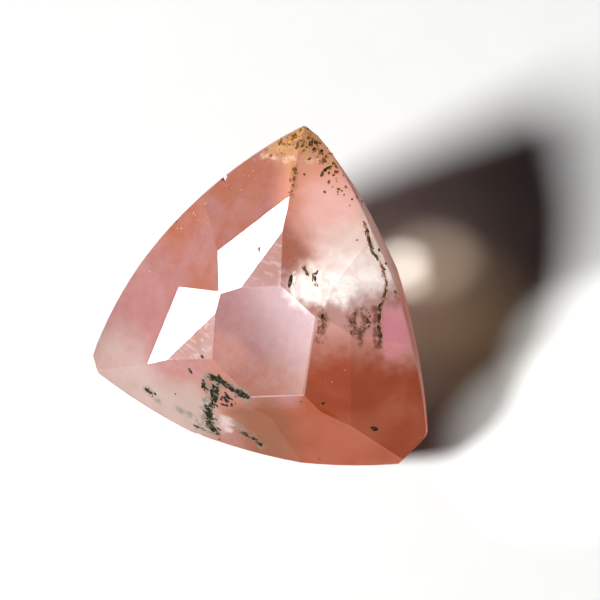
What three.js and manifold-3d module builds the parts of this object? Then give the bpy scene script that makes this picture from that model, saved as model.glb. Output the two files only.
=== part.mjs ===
// A faceted cobaltoan calcite: one pink stone, cut as a three-sided trillion, lying on one of its pavilion facets.
// Millimetres, +Z up. The stone is first cut table up, round its own axis, and is then leaned over to rest.
// Three corners, A, B and C, stand at 90, 210 and 330 degrees round the axis, with a bowed side between each two.

import * as THREE from 'three';
import { mergeVertices } from 'three/addons/utils/BufferGeometryUtils.js';
import Module from 'manifold-3d';

// Driving dimensions of the outline
const cornerSpacing = 9.0;
const cornerAzimuths = { A: 90, B: 210, C: 330 };
const sideBulges = { AB: 0.81, BC: 0.99, CA: 0.83 };
const sideSteps = 20;

// Heights above and below the girdle's middle plane
const tableHeight = 1.24;
const girdleHalf = 0.14;
const roughHeight = 6.0;

// Each facet has an azimuth, a slope against the girdle plane, and its reach from the axis at one height
const crownMains = [
  { name: 'main of AB by A', azimuth: 122.2, slope: 21.2, reach: 1.23 },
  { name: 'main of AB by B', azimuth: 175.7, slope: 21.9, reach: 1.18 },
  { name: 'main of BC by B', azimuth: 236.3, slope: 19.3, reach: 1.40 },
  { name: 'main of BC by C', azimuth: 288.1, slope: 18.0, reach: 1.63 },
  { name: 'main of CA by C', azimuth: 1.4, slope: 19.9, reach: 1.36 },
  { name: 'main of CA by A', azimuth: 60.7, slope: 21.6, reach: 1.37 },
];
const stars = [
  { name: 'star by A', azimuth: 108.6, slope: 16.4, reach: 1.20 },
  { name: 'star by B', azimuth: 186.2, slope: 17.0, reach: 1.14 },
];
const upperGirdleFacets = [
  { name: 'kite of AB', azimuth: 152.5, slope: 27.6, reach: 3.47 },
  { name: 'kite of BC', azimuth: 270.0, slope: 31.5, reach: 3.64 },
  { name: 'kite of CA', azimuth: 30.0, slope: 30.5, reach: 3.50 },
  { name: 'break of AB by A', azimuth: 125.4, slope: 25.0, reach: 3.77 },
  { name: 'break of AB by B', azimuth: 174.5, slope: 25.4, reach: 3.68 },
  { name: 'break of BC by B', azimuth: 243.0, slope: 25.5, reach: 3.99 },
  { name: 'break of BC by C', azimuth: 290.0, slope: 28.0, reach: 3.95 },
  { name: 'break of CA by C', azimuth: 3.5, slope: 26.0, reach: 3.86 },
  { name: 'break of CA by A', azimuth: 57.5, slope: 26.0, reach: 3.81 },
];

// The pavilion's facets, the same on each side, with their turn from the middle of the side.
// The broad and the narrow main meet the others at the culet, and the breaks thin the girdle between them.
const broadMain = { turn: -10.6, slope: 40.0, reach: 3.58 };
const narrowMain = { turn: 20.0, slope: 37.5, reach: 3.91 };
const outerBreak = { turn: -33.0, slope: 50.0, reach: 4.60 };
const innerBreak = { turn: 9.0, slope: 52.0, reach: 3.60 };
const sideAzimuths = [150, 270, 30];

// Worn corners, each a small upright flat, and nicks along the girdle's edge between A and B
const wornCorners = [
  { azimuth: 72, reach: 4.78 },
  { azimuth: 211, reach: 5.00 },
  { azimuth: 306, reach: 4.62 },
  { azimuth: 328, reach: 4.80 },
  { azimuth: 347, reach: 4.70 },
];
const nicks = [
  { azimuth: 119, radius: 0.12 },
  { azimuth: 136, radius: 0.09 },
  { azimuth: 146, radius: 0.10 },
  { azimuth: 166, radius: 0.07 },
  { azimuth: 250, radius: 0.12 },
];

// The stone rests on the broad pavilion main of side BC
const restingAzimuth = 270 + broadMain.turn;

const wasm = await Module();
wasm.setup();

const radians = THREE.MathUtils.degToRad;

function solidFrom(geometry) {
  const bare = geometry.index ? geometry.toNonIndexed() : geometry;
  bare.deleteAttribute('normal');
  bare.deleteAttribute('uv');
  const welded = mergeVertices(bare, 1e-5);
  return new wasm.Manifold(new wasm.Mesh({
    numProp: 3,
    vertProperties: new Float32Array(welded.attributes.position.array),
    triVerts: new Uint32Array(welded.index.array),
  }));
}

function geometryFrom(solid) {
  const mesh = solid.getMesh();
  const geometry = new THREE.BufferGeometry();
  geometry.setAttribute('position', new THREE.BufferAttribute(mesh.vertProperties, 3));
  geometry.setIndex(new THREE.BufferAttribute(mesh.triVerts, 1));
  return geometry;
}

function cornerPoint(name) {
  const reach = cornerSpacing / Math.sqrt(3);
  const angle = radians(cornerAzimuths[name]);
  return new THREE.Vector2(reach * Math.cos(angle), reach * Math.sin(angle));
}

// One bowed side, from one corner to the next, as points on the arc that has the given bulge
function sidePoints(from, to, bulge) {
  const start = cornerPoint(from);
  const end = cornerPoint(to);
  const middle = start.clone().add(end).multiplyScalar(0.5);
  const outward = middle.clone().normalize();
  const radius = (cornerSpacing ** 2 / 4 + bulge ** 2) / (2 * bulge);
  const centre = middle.clone().addScaledVector(outward, bulge - radius);
  const first = start.clone().sub(centre).angle();
  const last = end.clone().sub(centre).angle();
  const sweep = THREE.MathUtils.euclideanModulo(last - first, 2 * Math.PI);
  const arc = new THREE.ArcCurve(centre.x, centre.y, radius, first, first + sweep, false);
  return arc.getPoints(sideSteps).slice(0, -1);
}

// The rough preform: the bowed triangle as a prism
function preform() {
  const outline = new THREE.Shape([
    ...sidePoints('A', 'B', sideBulges.AB),
    ...sidePoints('B', 'C', sideBulges.BC),
    ...sidePoints('C', 'A', sideBulges.CA),
  ]);
  const prism = new THREE.ExtrudeGeometry(outline, { depth: 2 * roughHeight, bevelEnabled: false });
  prism.translate(0, 0, -roughHeight);
  return solidFrom(prism);
}

// All that lies beyond a facet's plane, as a large block turned to face outwards.
// A slope of 0 faces up, 90 faces outwards and more than 90 faces down.
function waste({ azimuth, slope, reach, height = 0 }) {
  const size = 40;
  const block = new THREE.BoxGeometry(size, size, size);
  block.translate(0, 0, size / 2);
  block.rotateY(radians(slope));
  block.translate(reach, 0, height);
  block.rotateZ(radians(azimuth));
  return solidFrom(block);
}

function crownFacets() {
  const table = { azimuth: 0, slope: 0, reach: 0, height: tableHeight };
  const inner = [...crownMains, ...stars].map((facet) => ({ ...facet, height: tableHeight }));
  const outer = upperGirdleFacets.map((facet) => ({ ...facet, height: girdleHalf }));
  return [table, ...inner, ...outer];
}

function pavilionFacets() {
  return sideAzimuths.flatMap((side) => [broadMain, narrowMain, outerBreak, innerBreak].map((facet) => ({
    azimuth: side + facet.turn,
    slope: 180 - facet.slope,
    reach: facet.reach,
    height: -girdleHalf,
  })));
}

function girdleReach(azimuth) {
  const side = sideAzimuths.find((middle) => Math.abs(middle - azimuth) <= 60);
  const bulge = side === 270 ? sideBulges.BC : sideBulges.AB;
  const radius = (cornerSpacing ** 2 / 4 + bulge ** 2) / (2 * bulge);
  const centre = cornerSpacing / (2 * Math.sqrt(3)) + bulge - radius;
  const turn = radians(azimuth - side);
  return centre * Math.cos(turn) + Math.sqrt(radius ** 2 - (centre * Math.sin(turn)) ** 2);
}

function nick({ azimuth, radius }) {
  const chip = new THREE.IcosahedronGeometry(radius, 0);
  chip.translate(girdleReach(azimuth), 0, girdleHalf);
  chip.rotateZ(radians(azimuth));
  return solidFrom(chip);
}

function cutStone() {
  let stone = preform();
  const flats = wornCorners.map((corner) => ({ ...corner, slope: 90 }));
  for (const facet of [...crownFacets(), ...pavilionFacets(), ...flats]) {
    stone = stone.subtract(waste(facet));
  }
  for (const chip of nicks) {
    stone = stone.subtract(nick(chip));
  }
  return geometryFrom(stone);
}

// Turns the resting facet to face -Y, leans the stone over onto it, and centres the stone above the origin
function layDown(geometry) {
  geometry.rotateZ(radians(270 - restingAzimuth));
  geometry.rotateX(radians(broadMain.slope));
  geometry.computeBoundingBox();
  const { min, max } = geometry.boundingBox;
  geometry.translate(-(min.x + max.x) / 2, -(min.y + max.y) / 2, -min.z);
  return geometry;
}

const calcite = new THREE.MeshStandardMaterial({ color: 0xd98a86, roughness: 0.12, metalness: 0 });

const stone = new THREE.Mesh(layDown(cutStone()), calcite);
stone.name = 'calcite_gem';

const group = new THREE.Group();
group.add(stone);

export default group;
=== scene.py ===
# %% [markdown]
# A cut cobaltoan calcite, step by step
#
# The real object is one small pink stone, cut with three bowed sides and lying on a facet of its
# underside. Its solid comes from the packed model. These cells only dress it: a polished, hazy,
# see-through body, the dark grains and pale veils inside it, and the light that shows them. The stone
# could be modelled here once more, but then two shapes would have to be kept alike, so the packed solid
# stays the only source of the shape.

# %% Load the packed stone
import math
import random

import bmesh
import bpy
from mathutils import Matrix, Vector
from mathutils.bvhtree import BVHTree


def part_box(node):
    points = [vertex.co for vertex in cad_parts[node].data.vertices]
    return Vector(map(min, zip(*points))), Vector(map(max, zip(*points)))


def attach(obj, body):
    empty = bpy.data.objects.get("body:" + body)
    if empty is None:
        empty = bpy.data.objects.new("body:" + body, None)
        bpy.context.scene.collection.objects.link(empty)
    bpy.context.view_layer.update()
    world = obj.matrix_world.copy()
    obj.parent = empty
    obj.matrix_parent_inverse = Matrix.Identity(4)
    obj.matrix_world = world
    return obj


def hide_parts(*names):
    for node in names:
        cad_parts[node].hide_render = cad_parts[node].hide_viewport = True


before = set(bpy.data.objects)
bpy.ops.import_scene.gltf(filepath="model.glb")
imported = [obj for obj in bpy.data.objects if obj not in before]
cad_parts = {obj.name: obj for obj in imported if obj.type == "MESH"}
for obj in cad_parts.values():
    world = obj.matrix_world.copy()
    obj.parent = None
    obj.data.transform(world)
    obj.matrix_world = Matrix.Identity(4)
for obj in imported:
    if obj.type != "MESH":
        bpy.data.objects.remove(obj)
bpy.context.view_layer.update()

# %% [markdown]
# Units and directions
#
# Blender counts in metres and the stone is nine millimetres wide, so one helper turns millimetres into
# metres. A second one turns an azimuth and an elevation into a direction, which is handier than
# coordinates for lights.

# %% Units and directions
MM = 0.001


def mm(x, y, z):
    return Vector((x, y, z)) * MM


def toward(azimuth, elevation):
    a = math.radians(azimuth)
    e = math.radians(elevation)
    return Vector((math.cos(a) * math.cos(e), math.sin(a) * math.cos(e), math.sin(e)))


stone_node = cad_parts["calcite_gem"]
stone_low, stone_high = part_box("calcite_gem")
print("stone, mm", [round(v / MM, 2) for v in stone_high - stone_low])

# %% [markdown]
# The camera
#
# A gem is photographed from above through a long lens, which keeps its edges straight. The camera could
# be aimed by hand, but here its direction was fitted to the outline of the stone, so every facet falls
# where it should. The aim is set beside the stone's middle, because the stone isn't in the middle of the
# picture.

# %% Directions of the picture
PICTURE = 600
GIRDLE_CENTRE = mm(-0.359, -0.472, 2.408)
CENTRE_PIXEL = (272.8, 317.5)
CAMERA_AZIMUTH = -63.66
CAMERA_ELEVATION = 71.83
CAMERA_DISTANCE = 150 * MM
SENSOR = 36.0
LENS = 360.9

camera_back = toward(CAMERA_AZIMUTH, CAMERA_ELEVATION)
camera_right = Vector((0, 0, 1)).cross(camera_back).normalized()
camera_up = camera_back.cross(camera_right)
pixel_size = CAMERA_DISTANCE * SENSOR / LENS / PICTURE


def in_picture_plane(x, y):
    across = camera_right * (x - CENTRE_PIXEL[0]) * pixel_size
    return across - camera_up * (y - CENTRE_PIXEL[1]) * pixel_size


print("one pixel, mm", round(pixel_size / MM, 4))

# %% Place the camera
NEAREST_SEEN = 0.01
FARTHEST_SEEN = 5.0

picture_middle = GIRDLE_CENTRE + in_picture_plane(PICTURE / 2, PICTURE / 2)
camera_place = picture_middle + camera_back * CAMERA_DISTANCE

lens = bpy.data.cameras.new("camera")
lens.lens = LENS
lens.sensor_width = SENSOR
lens.clip_start = NEAREST_SEEN
lens.clip_end = FARTHEST_SEEN
camera = bpy.data.objects.new("camera", lens)
camera.location = camera_place
camera.rotation_mode = "QUATERNION"
camera.rotation_quaternion = (-camera_back).to_track_quat("-Z", "Y")
bpy.context.collection.objects.link(camera)
bpy.context.scene.camera = camera
print("camera at, mm", [round(v / MM, 1) for v in camera_place])

# %% [markdown]
# Finding a place on the stone
#
# Marks in the stone are placed where the picture shows them. They could be placed by trial, but a ray
# from the camera through the mark's pixel meets the stone in one point of one facet. So each mark sits on
# or in the stone, seen from any side.

# %% Rays onto the stone
TABLE_PIXEL = (268, 342)

stone_tree = BVHTree.FromPolygons(
    [v.co.copy() for v in stone_node.data.vertices],
    [tuple(p.vertices) for p in stone_node.data.polygons],
)


def surface_at(x, y):
    target = GIRDLE_CENTRE + in_picture_plane(x, y)
    ray = (target - camera_place).normalized()
    place, normal, _, _ = stone_tree.ray_cast(camera_place, ray)
    return place, normal


table_place, table_axis = surface_at(*TABLE_PIXEL)
print("table at, mm", [round(v / MM, 2) for v in table_place])

# %% [markdown]
# Shader maths as plain expressions
#
# A node tree for a natural stone is mostly arithmetic on noise. Wiring it by hand hides the sums, so this
# small class wraps one socket and adds a Math node for each operator. Colours and vectors have their own
# calls, because a Math node would turn them grey.

# %% A socket that can be added and multiplied
class Link:
    def __init__(self, shader, socket):
        self.shader = shader
        self.socket = socket

    def maths(self, operation, a, b):
        return self.shader.node("ShaderNodeMath", {"operation": operation}, {0: a, 1: b})

    def __add__(self, other):
        return self.maths("ADD", self, other)

    __radd__ = __add__

    def __sub__(self, other):
        return self.maths("SUBTRACT", self, other)

    def __rsub__(self, other):
        return self.maths("SUBTRACT", other, self)

    def __mul__(self, other):
        return self.maths("MULTIPLY", self, other)

    __rmul__ = __mul__

    def least(self, other):
        return self.maths("MINIMUM", self, other)

    def most(self, other):
        return self.maths("MAXIMUM", self, other)

    def clamped(self):
        return self.shader.node("ShaderNodeClamp", {}, {"Value": self})


print("a Link can", ", ".join(name for name in vars(Link) if callable(getattr(Link, name))))

# %% [markdown]
# One method for every node
#
# Each node needs its settings first and then its values or links. Written out, that is five lines a node,
# so one method takes the type, the settings and the sockets. The other methods are short names for the
# nodes used most.

# %% A material and its nodes
class Shader:
    def __init__(self, name):
        self.material = bpy.data.materials.new(name)
        self.material.use_nodes = True
        self.tree = self.material.node_tree
        self.tree.nodes.clear()
        self.place = self.scaled(self.node("ShaderNodeTexCoord", {}, {}, "Object"), 1 / MM)

    def node(self, kind, settings, values, output=0):
        made = self.tree.nodes.new(kind)
        for key, value in settings.items():
            setattr(made, key, value)
        for key, value in values.items():
            if isinstance(value, Link):
                self.tree.links.new(value.socket, made.inputs[key])
            else:
                made.inputs[key].default_value = value
        return Link(self, made.outputs[output]) if made.outputs else None

    def vector(self, operation, first, second, output="Vector"):
        return self.node("ShaderNodeVectorMath", {"operation": operation}, {0: first, 1: second}, output)

    def scaled(self, vector, factor):
        return self.node("ShaderNodeVectorMath", {"operation": "SCALE"}, {0: vector, "Scale": factor})

    def noise(self, scale, detail=4.0, roughness=0.5, warp=0.0, vector=None):
        values = {"Vector": vector or self.place, "Scale": scale, "Detail": detail}
        values.update({"Roughness": roughness, "Distortion": warp})
        return self.node("ShaderNodeTexNoise", {"noise_dimensions": "3D"}, values, "Fac")

    def between(self, value, low, high):
        values = {"Value": value, "From Min": low, "From Max": high, "To Min": 0.0, "To Max": 1.0}
        return self.node("ShaderNodeMapRange", {"interpolation_type": "SMOOTHSTEP", "clamp": True}, values)

    def mixed(self, factor, first, second):
        return self.node("ShaderNodeMix", {"data_type": "RGBA"}, {0: factor, 6: first, 7: second}, 2)

    def painted(self, name):
        return self.node("ShaderNodeAttribute", {"attribute_name": name}, {}, "Fac")

    def bump(self, height, strength, distance):
        values = {"Height": height, "Strength": strength, "Distance": distance}
        return self.node("ShaderNodeBump", {}, values, "Normal")

    def finish(self, surface, volume=None):
        values = {"Surface": surface}
        if volume:
            values["Volume"] = volume
        self.node("ShaderNodeOutputMaterial", {}, values)
        return self.material


def rgb(red, green, blue):
    return (red, green, blue, 1.0)


print("a Shader can", ", ".join(name for name in vars(Shader) if callable(getattr(Shader, name))))

# %% [markdown]
# The floor
#
# The stone lies on a plain white surface. A plane would do, and is enough: it is only a stage for the
# light. Its faint grain keeps the pale floor from looking like a hole in the picture.

# %% Make the floor
FLOOR_HALF = 2.0
FLOOR_DIM = rgb(0.80, 0.80, 0.79)
FLOOR_BRIGHT = rgb(0.84, 0.84, 0.83)


def floor_material():
    shader = Shader("white_floor")
    tint = shader.mixed(shader.noise(0.6, detail=6.0), FLOOR_DIM, FLOOR_BRIGHT)
    body = shader.node("ShaderNodeBsdfPrincipled", {}, {"Base Color": tint, "Roughness": 0.75})
    return shader.finish(body)


def panel(name, half, material):
    mesh = bpy.data.meshes.new(name)
    corners = [(-half, -half, 0), (half, -half, 0), (half, half, 0), (-half, half, 0)]
    mesh.from_pydata(corners, [], [(0, 1, 2, 3)])
    mesh.materials.append(material)
    made = bpy.data.objects.new(name, mesh)
    bpy.context.collection.objects.link(made)
    return made


floor = panel("floor", FLOOR_HALF, floor_material())
print("floor, m", tuple(floor.dimensions))

# %% [markdown]
# The light
#
# Two facets of the crown flash pure white and all the others stay pink. A flat facet acts as a mirror, so
# each shows only what lies in one direction. The lamps could be moved about until the facets flash, but
# the script works that direction out from the facet and puts a small softbox there. A larger key light at
# the left throws the shadow.

# %% Place the softboxes
LIGHT_DISTANCE = 300 * MM
KEY_DIRECTION = toward(-131, 37)
KEY_SIZE = 90 * MM
KEY_RADIANCE = 92.0
FLASH_PIXELS = {"upper_flash": (250, 240), "lower_flash": (185, 320)}
FLASH_SIZE = 24 * MM
FLASH_RADIANCE = 40.0


def mirrored(x, y):
    place, normal = surface_at(x, y)
    to_camera = (camera_place - place).normalized()
    return place, (2 * normal.dot(to_camera) * normal - to_camera).normalized()


def softbox(name, place, aim, size, radiance):
    lamp = bpy.data.lights.new(name, "AREA")
    lamp.shape = "DISK"
    lamp.size = size
    lamp.energy = radiance * math.pi * math.pi * size * size / 4
    made = bpy.data.objects.new(name, lamp)
    made.location = place
    made.rotation_mode = "QUATERNION"
    made.rotation_quaternion = (aim - place).to_track_quat("-Z", "Z")
    bpy.context.collection.objects.link(made)
    return made


for name, pixel in FLASH_PIXELS.items():
    flash_place, flash_direction = mirrored(*pixel)
    box_place = flash_place + flash_direction * LIGHT_DISTANCE
    flash = softbox(name, box_place, flash_place, FLASH_SIZE, FLASH_RADIANCE)
    flash.visible_diffuse = False
    print(name, "direction", [round(v, 3) for v in flash_direction])

softbox("key", GIRDLE_CENTRE + KEY_DIRECTION * LIGHT_DISTANCE, GIRDLE_CENTRE, KEY_SIZE, KEY_RADIANCE)
print("key direction", [round(v, 3) for v in KEY_DIRECTION])

# %% [markdown]
# Light patches on the floor
#
# A clear stone gathers light like a lens and throws bright and amber patches into its own shadow. A
# renderer could trace them, but so few rays find the way that they stay dark and grainy. Soft, narrow
# spotlights from the side of the shadow, aimed at the floor, give the patches cleanly. Two broad ones
# also lighten the shadow's lower right edge, where the solid alone throws it too wide.

# %% Spotlights aimed at the floor
SPOT_REACH = 70 * MM
SPOT_DIRECTION = toward(40, 55)

# Each spot: its name, its pixel on the floor, its radius there in millimetres, its radiance and its colour
FLOOR_SPOTS = [
    ("bright_patch", (399, 264), 0.85, 0.70, (1.0, 0.93, 0.85)),
    ("bright_patch_low", (404, 280), 0.80, 0.40, (1.0, 0.88, 0.77)),
    ("bright_patch_far", (430, 262), 1.4, 0.25, (1.0, 0.78, 0.58)),
    ("amber_patch", (448, 300), 2.0, 0.075, (1.0, 0.62, 0.26)),
    ("amber_patch_low", (450, 350), 2.0, 0.055, (1.0, 0.58, 0.20)),
    ("shadow_edge", (572, 440), 3.0, 0.9, (1.0, 0.99, 0.95)),
    ("shadow_edge_high", (612, 350), 2.6, 0.9, (1.0, 0.99, 0.95)),
]


def floor_at(x, y):
    ray = GIRDLE_CENTRE + in_picture_plane(x, y) - camera_place
    return camera_place - ray * (camera_place.z / ray.z)


def floor_spot(name, pixel, radius, radiance, colour):
    spot = bpy.data.lights.new(name, "SPOT")
    spot.spot_size = 2 * math.atan(radius * MM / SPOT_REACH)
    spot.spot_blend = 1.0
    spot.shadow_soft_size = 0.0
    spot.energy = radiance * math.pi * 4 * math.pi * SPOT_REACH ** 2
    spot.color = colour
    made = bpy.data.objects.new(name, spot)
    aim = floor_at(*pixel)
    made.location = aim + SPOT_DIRECTION * SPOT_REACH
    made.rotation_mode = "QUATERNION"
    made.rotation_quaternion = SPOT_DIRECTION.to_track_quat("Z", "Y")
    bpy.context.collection.objects.link(made)
    print(name, "on the floor at, mm", [round(v / MM, 2) for v in aim])


for values in FLOOR_SPOTS:
    floor_spot(*values)

# %% [markdown]
# The room
#
# Bright walls would wash out the shadow, so the room gives almost no light. A black room would do for the
# shadow, but a trace of pale light keeps the darkest places from going dead.

# %% Dim the room
ROOM_COLOUR = rgb(0.94, 1.0, 0.90)
ROOM_STRENGTH = 0.004

world = bpy.data.worlds.new("pale_room")
world.use_nodes = True
room = world.node_tree.nodes["Background"].inputs
room["Color"].default_value = ROOM_COLOUR
room["Strength"].default_value = ROOM_STRENGTH
bpy.context.scene.world = world
bpy.context.scene.view_settings.view_transform = "Standard"
print("room strength", ROOM_STRENGTH)

# %% [markdown]
# The silver haze on the table
#
# The table mirrors a pale card, which brightens towards one corner. A lamp has one brightness all over,
# so this is a plane with a glowing material instead. It stands where the table's mirror direction meets
# it, and the short run of its gradient is as wide as the card's small reflected part.

# %% Make the haze card
HAZE_BRIGHT_PIXEL = (303, 322)
HAZE_DIM_PIXEL = (222, 366)
HAZE_COLOUR = (0.95, 0.93, 1.0)
HAZE_LOW = 2.1
HAZE_HIGH = 13.5
HAZE_RISE = (0.30, 1.15)
HAZE_CARD_HALF = 45 * MM

haze_place, haze_direction = mirrored(*TABLE_PIXEL)
haze_middle = haze_place + haze_direction * LIGHT_DISTANCE


def card_point(pixel):
    place, direction = mirrored(*pixel)
    reach = (haze_middle - place).dot(haze_direction) / direction.dot(haze_direction)
    return place + direction * reach


def haze_material(start, run):
    shader = Shader("haze_card")
    offset = shader.vector("SUBTRACT", shader.node("ShaderNodeNewGeometry", {}, {}, "Position"), start)
    along = shader.vector("DOT_PRODUCT", offset, run, "Value")
    rise = shader.between(along * (1 / run.length_squared), *HAZE_RISE)
    dim = rgb(*(value * HAZE_LOW / HAZE_HIGH for value in HAZE_COLOUR))
    colour = shader.mixed(rise, dim, rgb(*HAZE_COLOUR))
    return shader.finish(shader.node("ShaderNodeEmission", {}, {"Color": colour, "Strength": HAZE_HIGH}))


haze_start = card_point(HAZE_DIM_PIXEL)
haze_run = card_point(HAZE_BRIGHT_PIXEL) - haze_start
card = panel("haze_card", HAZE_CARD_HALF, haze_material(haze_start, haze_run))
card.location = haze_middle
card.rotation_mode = "QUATERNION"
card.rotation_quaternion = (-haze_direction).to_track_quat("Z", "Y")
card.visible_camera = False
card.visible_diffuse = False
card.visible_transmission = False
card.visible_shadow = False
print("haze gradient, mm", round(haze_run.length / MM, 2))

# %% [markdown]
# The colours inside the stone
#
# The pink of a cobalt-bearing calcite is uneven: rose at one side, deep coral where the stone is seen
# through its full depth, and nearly white where the light gathers. The deep coral below and under the table
# is painted shade, and the near white is painted light. The names say where each colour belongs.

# %% Name the colours
CORAL = rgb(0.42, 0.145, 0.090)
ROSE = rgb(0.385, 0.165, 0.157)
# Painted shade: the darker coral of the deep part.
DEEP_CORAL_SHADE = rgb(0.33, 0.070, 0.032)
ORANGE_CORAL = rgb(0.31, 0.050, 0.008)
BROWN_CORAL = rgb(0.215, 0.055, 0.012)
WARM_LIFT = rgb(0.86, 0.36, 0.24)
# Painted light: the pale rose of the focus's tail and of the band under it.
PALE_ROSE_LIGHT = rgb(0.98, 0.57, 0.51)
MAGENTA = rgb(0.88, 0.31, 0.38)
# Painted shade: the darker body seen under the table.
UNDER_TABLE_SHADE = rgb(0.22, 0.068, 0.062)
UNDER_TABLE_LOW_SHADE = rgb(0.24, 0.058, 0.018)

# Besides veils, cracks and worn edges, this white is also painted light and painted highlight.
WHITE_VEIL_AND_PAINTED_LIGHT = rgb(0.97, 0.93, 0.90)
# Painted light: peach where the gathered light fades.
PEACH_PAINTED_LIGHT = rgb(0.97, 0.76, 0.68)
GREY_VEIL = rgb(0.46, 0.365, 0.33)
STAR_VEIL = rgb(0.60, 0.43, 0.41)
PALE_GREY = rgb(0.68, 0.58, 0.53)
PALE_SAND = rgb(0.85, 0.62, 0.46)

OCHRE = rgb(0.66, 0.36, 0.14)
RUSTY = rgb(0.40, 0.15, 0.055)
BROWN = rgb(0.16, 0.050, 0.019)
GREY_GREEN = rgb(0.17, 0.165, 0.12)

HONEY_RIM = rgb(0.74, 0.42, 0.24)
# Painted light: the red of the girdle on the side away from the key, where light leaves through it.
LIT_RED_RIM = rgb(0.66, 0.19, 0.13)
print("coral and rose", CORAL[:3], ROSE[:3])

# %% [markdown]
# Zones of space
#
# A colour in the stone fills a region. It could be painted on the facets, but then it would end at their
# edges. Three kinds of soft region do it better: a ball round a point, a band along a stroke, and all
# that lies beyond a plane that the camera sees edge on. They are places in the stone and not on the
# picture, so they stay put from every side. No grown colour has a clean edge either, so the place that a
# zone is measured from is pushed about by a slow noise, and by a quick one where the edge is ragged.

# %% A shader that knows places in the stone
SLOW_SCALE = 1.1
QUICK_SCALE = 4.5
SLOW_PUSH = 0.8
RAGGED_PUSH = 0.45
NEAR_PUSH = 0.3


class StoneShader(Shader):
    def __init__(self, name):
        super().__init__(name)
        quick = self.push(QUICK_SCALE)
        self.drifting = self.pushed(self.place, self.push(SLOW_SCALE), SLOW_PUSH)
        self.ragged = self.pushed(self.drifting, quick, RAGGED_PUSH)
        self.near = self.pushed(self.place, quick, NEAR_PUSH)

    def push(self, scale):
        values = {"Vector": self.place, "Scale": scale, "Detail": 3.0}
        cloud = self.node("ShaderNodeTexNoise", {}, values, "Color")
        return self.vector("SUBTRACT", cloud, (0.5, 0.5, 0.5))

    def pushed(self, place, direction, reach):
        return self.vector("ADD", place, self.scaled(direction, reach))

    def ball(self, zone, place):
        pixel, inner, outer, strength = zone
        away = self.vector("DISTANCE", place, surface_at(*pixel)[0] / MM, "Value")
        return self.between(away, outer, inner) * strength

    def beyond(self, edge, place):
        first, second, soft = edge
        start, end = [(GIRDLE_CENTRE + in_picture_plane(*pixel)) / MM for pixel in (first, second)]
        outward = (end - start).cross(camera_back).normalized()
        away = self.vector("DOT_PRODUCT", self.vector("SUBTRACT", place, start), outward, "Value")
        return self.between(away, -soft, soft)

    def stroke(self, run, place):
        pixels, width, soft, strength = run
        ends = [surface_at(*pixel)[0] / MM for pixel in pixels]
        nearest = None
        for start, end in zip(ends, ends[1:]):
            leg = end - start
            offset = self.vector("SUBTRACT", place, start)
            along = self.vector("DOT_PRODUCT", offset, leg, "Value")
            foot = self.scaled(leg, (along * (1 / leg.length_squared)).clamped())
            away = self.vector("DISTANCE", offset, foot, "Value")
            nearest = away if nearest is None else nearest.least(away)
        return self.between(nearest, width / 2 + soft, width / 2) * strength


print("slow and ragged push, mm", SLOW_PUSH, RAGGED_PUSH)

# %% [markdown]
# Where the zones are
#
# The real stone is deep in colour below, where one looks through its full depth, and bright at the right,
# where the light gathers; these zones carry painted shade and painted light. All the places are read from
# the picture as pixels. A table of them keeps the shader code free of numbers, and a zone can be moved
# without touching the nodes.

# %% Places of the zones
# Balls: the pixel, the radius that is full and the one where it ends in millimetres, and the strength
ROSE_SIDE = ((130, 310), 0.8, 2.6, 1.0)
LIFTED_RIDGE = ((322, 190), 0.5, 1.5, 0.8)
LIGHT_FOCUS = ((326, 287), 0.45, 1.2, 1.0)
FOCUS_BY_GIRDLE = ((357, 262), 0.35, 1.5, 1.0)
TABLE_LIT_CORNER = ((224, 352), 0.2, 0.8, 0.5)
HAZY_CORNER = ((118, 378), 0.8, 1.9, 0.62)
HAZY_GIRDLE = ((186, 411), 0.5, 1.35, 0.7)
MAGENTA_PATCH = ((395, 328), 0.2, 0.95, 0.85)
PALE_PATCH = ((225, 423), 0.1, 0.42, 0.7)
STAINED_CORNER = ((298, 140), 0.3, 1.1, 0.8)
GIRDLE_BY_FOCUS = ((378, 250), 0.7, 1.9, 1.0)

# Edges: two pixels and the softness in millimetres. The zone lies on the right hand of the way between them.
# Painted shade: the deep part lies beyond these two edges.
DEEP_TOP_EDGE = ((300, 340), (420, 355), 0.62)
DEEP_LEFT_EDGE = ((300, 400), (317, 300), 0.1)
ORANGE_TOP_EDGE = ((230, 402), (420, 402), 0.35)
ORANGE_LEFT_EDGE = ((240, 450), (226, 400), 0.5)
BOTTOM_RIDGE = ((303, 395), (406, 463), 0.05)
BROWN_RIGHT_EDGE = ((286, 400), (294, 450), 0.5)
FOCUS_BASE = ((280, 309), (410, 305), 0.20)
BAND_TOP = ((280, 309), (410, 305), 0.15)
FOCUS_FADE = ((410, 262), (280, 266), 0.6)
TABLE_LOW_EDGE = ((220, 362), (320, 362), 0.5)
GIRDLE_CA_EDGE = ((400, 470), (301, 127), 0.3)

# Strokes: the run of pixels, its width and its softness in millimetres, and the strength
# Painted light: the pale tail of the focus, reaching up from it.
FOCUS_LIGHT_TAIL = ([(333, 210), (340, 232), (352, 262)], 0.5, 0.95, 0.85)
# Painted highlight: a thin bright line along the table's right and bottom edges.
TABLE_RIM_HIGHLIGHT = ([(315.5, 318), (303.8, 395), (250, 397)], 0.015, 0.02, 0.3)
print("the light gathers at, mm", [round(v / MM, 2) for v in surface_at(*LIGHT_FOCUS[0])[0]])

# %% [markdown]
# Deep, orange and bright regions: painted shade and painted light
#
# Light that enters a cut stone comes back from some facets and is lost in others. A renderer would need far
# more rays to build that up, so masks say where the stone is deep, where it is orange and where the light
# gathers, and the colours paint that light and shade: the deep part is painted shade, and the focus with the
# paler band under it is painted light.

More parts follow.
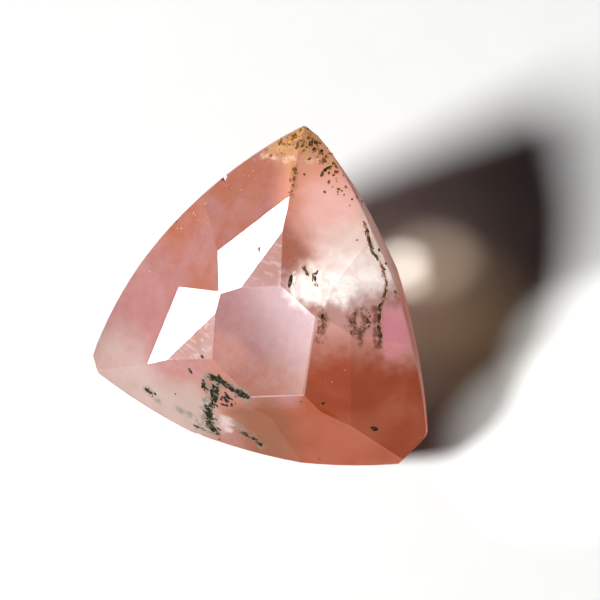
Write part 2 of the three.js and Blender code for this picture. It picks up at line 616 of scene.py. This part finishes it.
# %% Masks of depth and light, for painted shade and painted light
def depth_and_light(shader):
    lower = shader.beyond(DEEP_TOP_EDGE, shader.ragged)
    right = shader.beyond(DEEP_LEFT_EDGE, shader.place)
    # Painted shade: the deep part, where light is lost in the stone.
    deep = lower * right
    orange = shader.beyond(ORANGE_TOP_EDGE, shader.drifting)
    orange = orange * shader.beyond(ORANGE_LEFT_EDGE, shader.drifting)
    orange = orange * shader.beyond(BOTTOM_RIDGE, shader.place)
    # Painted light: the focus where the light gathers, and the paler band under it.
    focus = shader.ball(LIGHT_FOCUS, shader.ragged).most(shader.ball(FOCUS_BY_GIRDLE, shader.ragged))
    focus = focus * (1 - deep) * (1 - shader.beyond(FOCUS_BASE, shader.ragged))
    band = shader.beyond(BAND_TOP, shader.ragged) * (1 - lower) * right
    faded = shader.beyond(FOCUS_FADE, shader.ragged)
    return {"deep": deep, "orange": orange, "focus": focus, "band": band, "faded": faded}


print("the deep part starts at pixel row", DEEP_TOP_EDGE[0][1])

# %% [markdown]
# The ground colours
#
# Coral and rose drift into each other all over the stone, and the larger zones are laid over them, among
# them painted shade in the deep part and under the table and painted light in the band under the focus. Each
# could be a material of its own, but in one stone they run together, so they are mixed one after the other.

# %% Ground colours
def ground_colours(shader, cloud, masks):
    tint = shader.mixed(shader.between(cloud, 0.40, 0.60), CORAL, ROSE)
    tint = shader.mixed(shader.ball(ROSE_SIDE, shader.drifting), tint, ROSE)
    tint = shader.mixed(shader.ball(LIFTED_RIDGE, shader.drifting), tint, WARM_LIFT)
    # Painted light: the pale tail of the focus, reaching up from it.
    tint = shader.mixed(shader.stroke(FOCUS_LIGHT_TAIL, shader.drifting), tint, PALE_ROSE_LIGHT)
    # Painted shade: the deep part turns darker coral.
    depth = shader.mixed(shader.between(cloud, 0.35, 0.65) * 0.45, DEEP_CORAL_SHADE, CORAL)
    tint = shader.mixed(masks["deep"], tint, depth)
    warm = shader.mixed(shader.between(cloud, 0.40, 0.62) * 0.2, ORANGE_CORAL, CORAL)
    warm = shader.mixed(shader.beyond(BROWN_RIGHT_EDGE, shader.drifting), warm, BROWN_CORAL)
    tint = shader.mixed(masks["orange"], tint, warm)
    # Painted light: the paler band under the focus.
    return shader.mixed(masks["band"] * 0.5, tint, PALE_ROSE_LIGHT)


def table_and_haze(shader, tint):
    # Painted shade: the body under the table is darker, lighter at one lit corner.
    below = shader.mixed(shader.beyond(TABLE_LOW_EDGE, shader.drifting), UNDER_TABLE_SHADE, UNDER_TABLE_LOW_SHADE)
    below = shader.mixed(shader.ball(TABLE_LIT_CORNER, shader.drifting), below, CORAL)
    tint = shader.mixed(shader.painted("table") * 0.85, tint, below)
    tint = shader.mixed(shader.ball(HAZY_CORNER, shader.drifting), tint, GREY_VEIL)
    return shader.mixed(shader.ball(HAZY_GIRDLE, shader.drifting), tint, GREY_VEIL)


print("red of coral and of rose", CORAL[0], ROSE[0])

# %% [markdown]
# The white veil with painted light, and the small patches
#
# Where the light gathers, the stone is painted nearly white and peach: painted light that stands for the
# light gathered in a milky veil. The veil is streaky and sandy in itself, so two noises of very different
# size break it up. The magenta, ochre and pale patches are small and lie over it.

# %% Veil, painted light and patches
STREAK_STRETCH = (1.0, 1.0, 0.35)


def veil_and_painted_light(shader, tint, masks):
    streak_place = shader.vector("MULTIPLY", shader.drifting, STREAK_STRETCH)
    streaks = shader.between(shader.noise(2.2, warp=0.8, vector=streak_place), 0.36, 0.60)
    sand = shader.between(shader.noise(11.0, detail=3.0, roughness=0.7), 0.42, 0.66)
    # Painted light: white where the light gathers, peach where it fades and in the sandy parts.
    veil = shader.mixed(masks["faded"].most(sand * 0.7), WHITE_VEIL_AND_PAINTED_LIGHT, PEACH_PAINTED_LIGHT)
    return shader.mixed(masks["focus"] * (0.62 + streaks * 0.38), tint, veil)


def patches(shader, tint, fine):
    tint = shader.mixed(shader.ball(MAGENTA_PATCH, shader.ragged), tint, MAGENTA)
    stain = shader.ball(STAINED_CORNER, shader.drifting) * shader.between(fine, 0.40, 0.60)
    tint = shader.mixed(stain, tint, OCHRE)
    return shader.mixed(shader.ball(PALE_PATCH, shader.ragged), tint, PALE_GREY)


print("streaks are", round(1 / STREAK_STRETCH[2], 1), "times longer than wide")

# %% [markdown]
# Smudges and glints
#
# Green, brown and rusty stains seep from the mineral grains into the stone. They could be more flakes, but a
# stain has no edge, so each is a soft stroke broken up by noise, under the flakes that come later. A short
# white glint beside a black grain and a thin bright line along the table's edges are painted highlights,
# drawn as strokes too.

# %% Smudges and glints along runs
# Each smudge and glint: its run of pixels, its width and softness in millimetres, its colour and its
# strength
SMUDGES_AND_GLINTS = [
    ([(209, 377), (226, 383), (246, 397)], 0.16, 0.14, GREY_GREEN, 0.9),
    ([(216, 384), (209, 402), (206, 420), (214, 432)], 0.18, 0.16, GREY_GREEN, 0.85),
    ([(236, 424), (252, 436), (262, 446)], 0.07, 0.12, GREY_GREEN, 0.8),
    ([(146, 388), (158, 401)], 0.10, 0.12, GREY_GREEN, 0.75),
    ([(178, 409), (192, 416), (206, 426)], 0.08, 0.12, GREY_GREEN, 0.7),
    ([(200, 344), (204, 360)], 0.06, 0.08, GREY_GREEN, 0.6),
    ([(353, 313), (351, 324), (358, 334), (367, 326), (364, 311)], 0.14, 0.12, BROWN, 0.75),
    ([(360, 330), (360, 345)], 0.05, 0.08, BROWN, 0.7),
    ([(321, 309), (323, 322), (320, 340)], 0.14, 0.10, BROWN, 0.7),
    ([(377, 310), (376, 325), (379, 345)], 0.14, 0.10, BROWN, 0.8),
    ([(295, 160), (292, 194)], 0.06, 0.10, RUSTY, 0.75),
    ([(268, 151), (283, 143), (300, 138)], 0.22, 0.20, OCHRE, 0.6),
    ([(300, 138), (317, 148), (332, 163)], 0.26, 0.20, OCHRE, 0.6),
    (
        [(364, 223), (368.5, 238), (371, 249), (381.5, 265), (387, 282), (384, 299), (379, 310)],
        0.03, 0.06, BROWN, 0.7,
    ),
    # Painted highlight: a short white glint beside a black grain.
    ([(294, 274), (292, 288), (296, 302)], 0.05, 0.05, WHITE_VEIL_AND_PAINTED_LIGHT, 1.0),
    # A pale sandy line under the top corner.
    ([(262, 156), (290, 159), (322, 161)], 0.05, 0.09, PALE_SAND, 0.6),
]


def smudged_and_glinting(shader, tint):
    broken = shader.between(shader.noise(6.0, roughness=0.65), 0.36, 0.58)
    for pixels, width, soft, colour, strength in SMUDGES_AND_GLINTS:
        patch = shader.stroke((pixels, width, soft, strength), shader.near) * broken
        tint = shader.mixed(patch, tint, colour)
    # Painted highlight: a thin bright line along the table's right and bottom edges.
    return shader.mixed(shader.stroke(TABLE_RIM_HIGHLIGHT, shader.place), tint, WHITE_VEIL_AND_PAINTED_LIGHT)


print("smudges", len(SMUDGES_AND_GLINTS))

# %% [markdown]
# Polish, worn edges and the girdle
#
# The polish is good but not perfect: fine scratches, hairline cracks in two star facets, and worn edges.
# The girdle, the narrow rim of the stone, is left duller by the cutter. On the side away from the key it is
# painted red and glows: painted light that stands for light leaving through it. The faces carry painted
# values, so that these finishes end exactly at an edge, which a zone of space can't do.

# %% Finishes of the surface
CRACK_STRETCH = (0.5, 1.3, 1.0)
CRACK_RELIEF = 5.0
POLISH_RELIEF = 0.004 * MM
RIM_HEIGHTS = (-0.02, -0.13)


def above_girdle(shader):
    offset = shader.vector("SUBTRACT", shader.place, GIRDLE_CENTRE / MM)
    return shader.vector("DOT_PRODUCT", offset, table_axis, "Value")


def star_cracks(shader):
    crack_place = shader.vector("MULTIPLY", shader.place, CRACK_STRETCH)
    wavy = shader.noise(6.5, detail=5.0, roughness=0.6, warp=0.5, vector=crack_place)
    return shader.between(wavy, 0.50, 0.66) * shader.painted("crazed_star")


def surface_tint(shader, tint, cracks, deep, girdle_ca, girdle_rest):
    tint = shader.mixed(shader.painted("crazed_star") * 0.4, tint, STAR_VEIL)
    tint = shader.mixed(cracks * 0.24, tint, WHITE_VEIL_AND_PAINTED_LIGHT)
    tint = shader.mixed(shader.painted("worn_edge") * 0.05, tint, WHITE_VEIL_AND_PAINTED_LIGHT)
    mottle = shader.between(shader.noise(2.4, detail=6.0, roughness=0.7), 0.30, 0.70)
    tint = shader.mixed(mottle * 0.05 * (1 - deep), tint, WHITE_VEIL_AND_PAINTED_LIGHT)
    tint = shader.mixed(girdle_rest * 0.6, tint, HONEY_RIM)
    # Painted light: the girdle on the side away from the key is painted red where light leaves through it.
    return shader.mixed(girdle_ca * 0.85, tint, LIT_RED_RIM)


print("relief of the polish, mm", POLISH_RELIEF / MM)

# %% [markdown]
# Light that comes out of the stone
#
# The white veil and the rim beside it are brighter than the key light alone makes them, because the real
# stone gathers light there. That light is too rare for the renderer to find, so a weak glow stands for
# it.

# %% Glow of the veil and the rim
RED_RIM_GLOW = rgb(0.95, 0.22, 0.14)
PINK_RIM_GLOW = rgb(0.26, 0.10, 0.085)
PEACH_RIM_GLOW = rgb(0.85, 0.55, 0.42)
VEIL_GLOW = rgb(0.62, 0.50, 0.44)
NO_GLOW = rgb(0.0, 0.0, 0.0)
GLOW_STRENGTH = 0.5


def glow_colour(shader, height, girdle_ca, focus):
    lit = shader.mixed(shader.between(height, *RIM_HEIGHTS), PINK_RIM_GLOW, RED_RIM_GLOW)
    lit = shader.mixed(shader.ball(GIRDLE_BY_FOCUS, shader.place), lit, PEACH_RIM_GLOW)
    glow = shader.mixed(girdle_ca * 0.8, NO_GLOW, lit)
    return shader.mixed(focus * 0.45, glow, VEIL_GLOW)


print("glow strength", GLOW_STRENGTH)

# %% [markdown]
# The clear and the milky shader
#
# The real stone is polished outside and hazy inside: light goes in, is tinted on its way, and part of it
# is scattered by fine veils. A clear shader alone looks like glass, and a solid one alone looks like
# sugar, so the two are mixed by a cloudy mask. A plain absorption in the volume deepens the clear share
# where the stone is thicker.

# %% Clear and milky shaders
CALCITE_IOR = 1.6
CLEAR_TINT = rgb(1.0, 0.97, 0.96)


def clear_shader(shader, roughness, polish):
    values = {"Base Color": CLEAR_TINT, "Roughness": roughness, "IOR": CALCITE_IOR}
    values.update({"Transmission Weight": 1.0, "Normal": polish})
    return shader.node("ShaderNodeBsdfPrincipled", {}, values)


def milky_shader(shader, tint, glow, roughness, polish):
    values = {
        "Base Color": tint,
        "Roughness": roughness,
        "IOR": CALCITE_IOR,
        "Specular IOR Level": 0.35,
        "Subsurface Weight": 0.3,
        "Subsurface Radius": (1.0, 0.45, 0.4),
        "Subsurface Scale": 0.4 * MM,
        "Emission Color": glow,
        "Emission Strength": GLOW_STRENGTH,
        "Normal": polish,
    }
    return shader.node("ShaderNodeBsdfPrincipled", {"subsurface_method": "RANDOM_WALK"}, values)


print("refractive index", CALCITE_IOR)

# %% [markdown]
# The body of the stone
#
# One function joins the parts: colours, finishes, glow, the two shaders and the volume. The milky share
# is a sum, because several things cloud the same place: it is highest at the table, in the deep part and
# where light gathers.

# %% Body material
MILKY_BASE = 0.42
MILKY_MORE = {"crown": 0.22, "cloud": 0.14, "focus": 0.2, "deep": 0.14, "table": 0.12}
CROWN_HEIGHTS = (-0.3, 0.1)
ABSORBED = {"Color": rgb(1.0, 0.50, 0.42), "Density": 260.0}


def stone_material():
    shader = StoneShader("pink_calcite_body")
    cloud = shader.noise(0.55, detail=5.0, roughness=0.55, warp=0.6)
    fine = shader.noise(3.2, detail=5.0, roughness=0.6, warp=0.4)
    masks = depth_and_light(shader)
    tint = table_and_haze(shader, ground_colours(shader, cloud, masks))
    tint = smudged_and_glinting(shader, patches(shader, veil_and_painted_light(shader, tint, masks), fine))
    focus = masks["focus"] * (1 - masks["faded"] * 0.75)
    deep = masks["deep"].most(masks["orange"])
    girdle = shader.painted("girdle")
    by_ca = shader.beyond(GIRDLE_CA_EDGE, shader.place)
    height = above_girdle(shader)
    cracks = star_cracks(shader)
    tint = surface_tint(shader, tint, cracks, deep, girdle * by_ca, girdle * (1 - by_ca))
    glow = glow_colour(shader, height, girdle * by_ca, focus)
    roughness = 0.04 + shader.painted("worn_edge") * 0.10 + girdle * 0.30
    polish = shader.bump(shader.noise(9.0, detail=3.0) + cracks * CRACK_RELIEF, 0.02, POLISH_RELIEF)
    crown = shader.between(height, *CROWN_HEIGHTS)
    clouded = {"crown": crown, "cloud": shader.between(cloud, 0.3, 0.7), "focus": focus, "deep": deep}
    clouded["table"] = shader.painted("table")
    share = MILKY_BASE
    for name, mask in clouded.items():
        share = share + mask * MILKY_MORE[name]
    clear = clear_shader(shader, roughness, polish)
    milky = milky_shader(shader, tint, glow, roughness, polish)
    body = shader.node("ShaderNodeMixShader", {}, {0: share.clamped(), 1: clear, 2: milky})
    print("body material, nodes", len(shader.tree.nodes))
    return shader.finish(body, shader.node("ShaderNodeVolumeAbsorption", {}, ABSORBED, "Volume"))


stone_body = stone_material()

# %% [markdown]
# The polished shape
#
# The packed solid has knife-sharp edges. On a real, soft stone they are a little worn and catch the
# light. A bevel shader could fake that, but a real chamfer also shows in the exported mesh. So this piece
# copies the solid, joins the triangles of each facet again and gives every edge a very narrow bevel.

# %% Wear the edges of a copy
EDGE_WEAR = 0.016 * MM
WELD = 0.002 * MM
FLAT_ANGLE = math.radians(1.0)
SHARP_ANGLE = math.radians(7)


def worn_copy(source):
    work = bmesh.new()
    work.from_mesh(source)
    bmesh.ops.remove_doubles(work, verts=work.verts, dist=WELD)
    bmesh.ops.dissolve_limit(
        work, angle_limit=FLAT_ANGLE, verts=work.verts, edges=work.edges, delimit={"NORMAL"}
    )
    sharp = [e for e in work.edges if len(e.link_faces) == 2 and e.calc_face_angle() > SHARP_ANGLE]
    worn = work.faces.layers.float.new("worn_edge")
    bevels = bmesh.ops.bevel(
        work, geom=sharp, offset=EDGE_WEAR, segments=1, affect="EDGES", clamp_overlap=True
    )
    for face in bevels["faces"]:
        face[worn] = 1.0
    for face in work.faces:
        face.smooth = False
    bmesh.ops.triangulate(work, faces=work.faces)
    bmesh.ops.recalc_face_normals(work, faces=work.faces)
    mesh = bpy.data.meshes.new("polished_calcite")
    work.to_mesh(mesh)
    work.free()
    return mesh


polished = worn_copy(stone_node.data)
print("polished stone, faces", len(polished.polygons))

# %% [markdown]
# Painted values
#
# The material has to know the table, the girdle and the two crazed star facets. Separate materials would
# do, but the colours have to run on under them, so each face carries a value of nought or one that the
# material reads.

# %% Paint the faces and finish the piece
SAME_FACET = math.radians(2)
GIRDLE_UPRIGHT = 0.05
STAR_PIXELS = [(268, 268), (205, 338)]


def paint_faces(mesh, name, chosen):
    layer = mesh.attributes.new(name, "FLOAT", "FACE")
    values = [float(chosen(p.normal)) for p in mesh.polygons]
    layer.data.foreach_set("value", values)
    print(name, int(sum(values)), "faces")


star_normals = [surface_at(*pixel)[1] for pixel in STAR_PIXELS]
paint_faces(polished, "crazed_star", lambda n: any(n.angle(star) < SAME_FACET for star in star_normals))
paint_faces(polished, "table", lambda n: n.angle(table_axis) < SAME_FACET)
paint_faces(polished, "girdle", lambda n: abs(n.dot(table_axis)) < GIRDLE_UPRIGHT)

polished.materials.append(stone_body)
stone = bpy.data.objects.new("polished_calcite", polished)
bpy.context.collection.objects.link(stone)
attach(stone, "root")
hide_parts("calcite_gem")

# %% [markdown]
# Grains in the stone
#
# Dark mineral grains and rusty specks lie just under the polish, where the photograph shows them. Each
# could be a dot of colour, but real ones have an outline and a depth, so each is a tiny closed flake. It
# is turned into its facet's plane, and all the flakes of one mineral are joined in one mesh.

# %% Flakes of mineral
FLAKE_SIDES = 8
FLAKE_RAGGED = (0.65, 1.15)
FLAKE_RIM_LIFT = 0.003
FLAKE_TOP_LIFT = 0.009
FLAKE_DEPTH = 0.8


def flake(work, pixel, radius, rng, stretch, heading):
    place, normal = surface_at(*pixel)
    angle = math.radians(heading)
    along = camera_right * math.cos(angle) - camera_up * math.sin(angle)
    along = (along - along.dot(normal) * normal).normalized()
    across = normal.cross(along)
    ring = []
    for i in range(FLAKE_SIDES):
        turn = 2 * math.pi * i / FLAKE_SIDES
        reach = radius * MM * rng.uniform(*FLAKE_RAGGED)
        offset = along * math.cos(turn) * stretch * reach + across * math.sin(turn) * reach
        ring.append(work.verts.new(place + offset + normal * FLAKE_RIM_LIFT * MM))
    top = work.verts.new(place + normal * FLAKE_TOP_LIFT * MM)
    bottom = work.verts.new(place - normal * radius * FLAKE_DEPTH * MM)
    for i in range(FLAKE_SIDES):
        after = ring[(i + 1) % FLAKE_SIDES]
        work.faces.new((ring[i], after, top))
        work.faces.new((after, ring[i], bottom))


def flakes_piece(name, material, fill):
    work = bmesh.new()
    fill(work)
    bmesh.ops.recalc_face_normals(work, faces=work.faces)
    mesh = bpy.data.meshes.new(name)
    work.to_mesh(mesh)
    work.free()
    mesh.materials.append(material)
    made = bpy.data.objects.new(name, mesh)
    bpy.context.collection.objects.link(made)
    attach(made, "root")
    print(name, len(mesh.polygons), "faces")


print("a flake has", 2 * FLAKE_SIDES, "faces")

# %% [markdown]
# What a grain looks like
#
# A mineral grain is matt and speckled. One plain colour would make it a paint splash, so a fine noise
# moves it between a dark and a light tone and roughens it too.

# %% Material of a mineral
GRAIN_SCALE = 14.0
GRAIN_RELIEF = 0.01 * MM


def mineral(name, dark, light, roughness, scale=GRAIN_SCALE):
    shader = Shader(name)
    grain = shader.noise(scale, roughness=0.6)
    colour = shader.mixed(shader.between(grain, 0.48, 0.66), dark, light)
    values = {"Base Color": colour, "Roughness": roughness, "Specular IOR Level": 0.1}
    values["Normal"] = shader.bump(grain, 0.4, GRAIN_RELIEF)
    return shader.finish(shader.node("ShaderNodeBsdfPrincipled", {}, values))


ore = mineral("black_ore", rgb(0.022, 0.010, 0.004), rgb(0.15, 0.070, 0.026), 0.6)
print("made", ore.name)

# %% [markdown]
# The black grains
#
# Most are single specks and a few are long. Random ones would be less work, but these stand out singly,
# so a list gives each one's pixel, radius in hundredths of a millimetre, stretch and heading, read from
# the picture.

# %% Black grains
BLACK_GRAINS = [
    (297.4, 145.5, 5, 1.6, 100), (294.8, 135.5, 3, 1.2, 0), (310.8, 143, 5, 1.5, 130),
    (316, 142.5, 5, 1.3, 20), (314, 149, 4, 1.4, 140), (321.6, 151, 4, 1.2, 60), (322, 174, 4, 1.9, 110),
    (325, 170, 4, 1.7, 130), (329, 167.5, 4, 1.8, 160), (335.7, 166, 3, 1.3, 90),
    (304.4, 174.4, 3, 1.2, 0), (342, 191, 2, 1.2, 50), (352, 199, 2.5, 1.3, 110),
    (357, 197.5, 3, 1.3, 60), (367.8, 231, 2.6, 2.4, 75), (369.5, 240, 3.2, 3.0, 82),
    (371.2, 247.5, 3.2, 1.8, 50), (379, 249.7, 2.6, 1.8, 60), (386, 263.5, 3, 1.3, 90),
    (384, 269.2, 3.5, 1.3, 60), (357, 240, 2, 1.2, 0), (290.2, 282.0, 4.2, 3.8, 100),
    (315, 273.5, 3, 1.4, 130), (314.8, 279, 3.5, 1.6, 80), (379.5, 306, 3, 2.0, 100),
    (379, 317, 4, 2.4, 92), (378.5, 328, 4, 2.0, 88), (380, 336, 5, 1.4, 70), (379, 343, 3, 1.8, 95),
    (367.5, 321, 4, 1.6, 100), (322.5, 316, 4, 1.7, 80), (374, 429, 6, 1.8, 25),
    (323, 403.5, 3.5, 1.4, 130), (300.6, 401.6, 2.5, 1.2, 0), (319, 459, 2.5, 1.4, 10),
    (190.5, 371, 4, 2.2, 75), (175.3, 394, 2.5, 1.2, 0), (202.3, 357, 4, 1.5, 60),
    (259.3, 249, 2.5, 2.8, 92), (246.2, 267.6, 2.5, 1.6, 90), (318.5, 404, 1.6, 1.3, 0),
    (287, 247, 1.2, 1.2, 0),
]
GRAIN_UNIT = 0.0115
BLACK_SEED = 7


def fill_black(work):
    rng = random.Random(BLACK_SEED)
    for x, y, radius, stretch, heading in BLACK_GRAINS:
        flake(work, (x, y), radius * GRAIN_UNIT, rng, stretch, heading)


flakes_piece("black_grains", ore, fill_black)

# %% [markdown]
# Scatters along a run
#
# Rust, growth and crack fill have no pattern that could be drawn grain by grain. So a run of pixels says
# where they go, with a count and a spread, and seeded random draws scatter the flakes along it, mostly
# turned its way.

# %% Scatter flakes along runs
def along_run(pixels, share):
    legs = [(Vector(a), Vector(b)) for a, b in zip(pixels, pixels[1:])]
    left = share * sum((b - a).length for a, b in legs)
    for a, b in legs:
        length = (b - a).length
        if left <= length:
            return a + (b - a) * (left / length), math.degrees(math.atan2(b.y - a.y, b.x - a.x))
        left -= length
    return legs[-1][1], 0.0


def fill_runs(runs, seed, small, large, turn=60.0, stretch=2.0):
    def fill(work):
        rng = random.Random(seed)
        for pixels, count, spread in runs:
            for _ in range(count):
                spot, heading = along_run(pixels, rng.random())
                x = spot.x + rng.gauss(0, spread)
                y = spot.y + rng.gauss(0, spread)
                if surface_at(x, y)[0] is None:
                    continue
                heading += rng.gauss(0, turn)
                flake(work, (x, y), rng.uniform(small, large), rng, rng.uniform(1.0, stretch), heading)

    return fill


def grains_in(runs):
    return sum(count for _, count, _ in runs)


print("half way along a trial run", along_run([(0, 0), (10, 0)], 0.5)[0][:])

# %% [markdown]
# Rust
#
# Iron has stained one corner with ochre grains, which thin out along the edge and down a crack. The stain
# itself is in the body's colours, and these flakes are its coarse part.

# %% Rusty grains
RUST_RUNS = [
    ([(272, 150), (283, 143), (296, 136)], 34, 4.2),
    ([(294, 134), (310, 146), (326, 156)], 70, 5.5),
    ([(322, 156), (330, 164), (338, 174)], 30, 3.6),
    ([(295, 160), (293.5, 178), (291.5, 194)], 16, 1.2),
    ([(328, 182), (342, 192), (358, 202)], 16, 5.0),
]
rust = mineral("rusty_iron", rgb(0.15, 0.052, 0.011), rgb(0.52, 0.27, 0.07), 0.8, 9.0)
flakes_piece("rusty_grains", rust, fill_runs(RUST_RUNS, 11, 0.012, 0.040))
print("draws", grains_in(RUST_RUNS))

# %% [markdown]
# The green growth
#
# A green-black growth branches in from the girdle at the lower left. Long flakes that follow its branches
# look like its fibres, which round ones would not.

# %% Green-black growth
GREEN_RUNS = [
    ([(210, 376), (222, 382), (235, 391), (247, 397)], 150, 1.4),
    ([(213, 386), (216, 397), (208, 410), (210, 424)], 120, 1.7),
    ([(216, 388), (215, 398)], 50, 1.6),
    ([(203, 380), (205, 392)], 14, 1.2),
    ([(209, 424), (214, 430), (219, 435)], 30, 1.6),
    ([(222, 394), (232, 404)], 16, 2.6),
    ([(240, 432), (250, 436), (261, 445)], 24, 0.7),
    ([(145, 388), (157, 399)], 7, 1.2),
    ([(191, 424), (198, 427), (205, 430)], 12, 0.4),
]
green = mineral("green_black_growth", rgb(0.009, 0.009, 0.005), rgb(0.085, 0.072, 0.036), 0.8, 7.0)
flakes_piece("green_growth", green, fill_runs(GREEN_RUNS, 23, 0.012, 0.045, 40.0, 2.6))
print("draws", grains_in(GREEN_RUNS))

# %% [markdown]
# Brown grains in the crack
#
# A crack runs down beside the girdle and is filled with brown mineral. A cut in the mesh would be finer
# than a pixel, so narrow flakes, nearly all turned along the crack, draw it instead.

# %% Brown crack grains
CRACK_RUNS = [
    ([(364, 223), (368.5, 238), (371, 249)], 30, 0.8),
    ([(371, 249), (381.5, 265), (387, 282), (384, 299), (379, 310)], 64, 0.5),
    ([(379, 310), (378, 321), (379.5, 334), (380, 345)], 30, 0.9),
    ([(394, 289), (399, 300)], 6, 0.8),
    ([(353, 312), (351, 322), (356, 333), (366, 332), (368, 320), (362, 309)], 30, 2.2),
    ([(360, 334), (360, 345)], 7, 0.8),
    ([(321, 308), (323, 322), (320, 338)], 18, 2.0),
    ([(304, 268), (309, 277)], 8, 0.7),
    ([(316, 272), (313, 278), (315, 287)], 10, 1.0),
]
brown = mineral("brown_crack_fill", rgb(0.10, 0.045, 0.015), rgb(0.38, 0.20, 0.08), 0.6, 9.0)
flakes_piece("brown_crack_grains", brown, fill_runs(CRACK_RUNS, 31, 0.011, 0.030, 18.0, 3.6))
print("draws", grains_in(CRACK_RUNS))

# %% [markdown]
# Pale specks and chips
#
# Tiny bright specks and chips mark the polish of the upper left side. They are flakes again, with a pale,
# sugary finish, in a loose seeded scatter along the side and at chips in the girdle.

# %% Pale specks
SPECK_RUNS = [
    ([(262, 160), (225, 190), (180, 235), (130, 300)], 16, 9.0),
    ([(246, 168), (240, 200)], 5, 4.0),
    ([(224, 182), (228, 186)], 4, 1.2),
    ([(192, 211), (196, 214)], 4, 1.2),
    ([(177, 227), (180, 230)], 4, 1.2),
    ([(330, 385), (345, 375)], 5, 8.0),
]
pale = mineral("sugary_chip", rgb(0.80, 0.50, 0.42), rgb(0.95, 0.80, 0.74), 0.5, 12.0)
flakes_piece("pale_specks", pale, fill_runs(SPECK_RUNS, 43, 0.004, 0.010))
print("draws", grains_in(SPECK_RUNS))

# %% [markdown]
